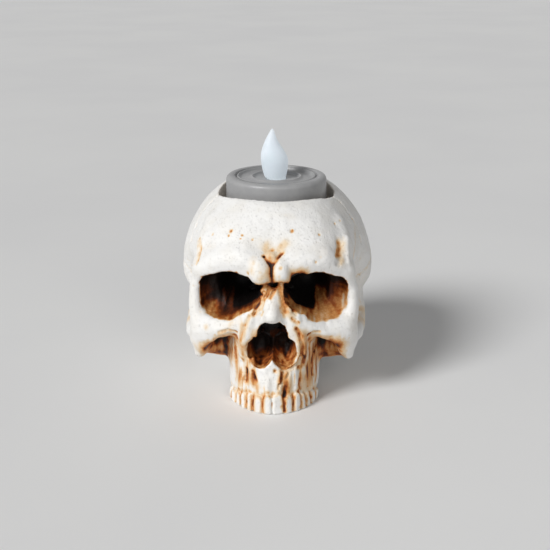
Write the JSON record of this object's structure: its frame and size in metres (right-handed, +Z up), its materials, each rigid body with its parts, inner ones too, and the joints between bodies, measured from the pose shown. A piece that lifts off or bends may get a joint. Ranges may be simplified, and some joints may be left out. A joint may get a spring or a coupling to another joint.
{
  "type": "skull tealight holder",
  "caption": "Small skull in cast resin, with a round recess in its crown that holds a battery tealight with a leaning flame.",
  "frame": {"origin": "centre of the whole holder's box in plan, on the surface that its teeth and back foot stand on", "axes": "+Z up, the face looks towards -Y, +X to the viewer's right when facing it"},
  "size_m": [0.074, 0.0904, 0.0974],
  "materials": {
    "bone_resin": "matte bone white with a brown wash in the hollows",
    "grey_plastic": "satin",
    "milky_plastic": "translucent satin",
    "clear_epoxy": "clear",
    "tinned_steel": "tinned",
    "cell_steel": "polished can",
    "black_plastic": "satin"
  },
  "bodies": {
    "holder": {"skull_body": "bone_resin"},
    "tealight": {"candle_shell": "grey_plastic", "flame_diffuser": "milky_plastic", "led": "clear_epoxy", "led_anode_lead": "tinned_steel", "led_cathode_lead": "tinned_steel", "base_plate": "grey_plastic", "coin_cell": "cell_steel", "positive_contact": "tinned_steel", "negative_contact": "tinned_steel"},
    "battery_door": {"battery_door": "grey_plastic"},
    "switch": {"switch_slider": "black_plastic", "switch_wiper": "tinned_steel"}
  },
  "joints": [
    {"name": "tealight_lift", "type": "slide", "parent": "holder", "child": "tealight", "axis": [0, 0, 1], "range_m": [0, 0.03]},
    {"name": "battery_door_twist", "type": "hinge", "parent": "tealight", "child": "battery_door", "pos_m": [-0.00297, -0.00155, 0.063], "axis": [0, 0, 1], "range_deg": [0, 45]},
    {"name": "switch_slide", "type": "slide", "parent": "tealight", "child": "switch", "axis": [0, 1, 0], "range_m": [0, 0.0025]}
  ]
}
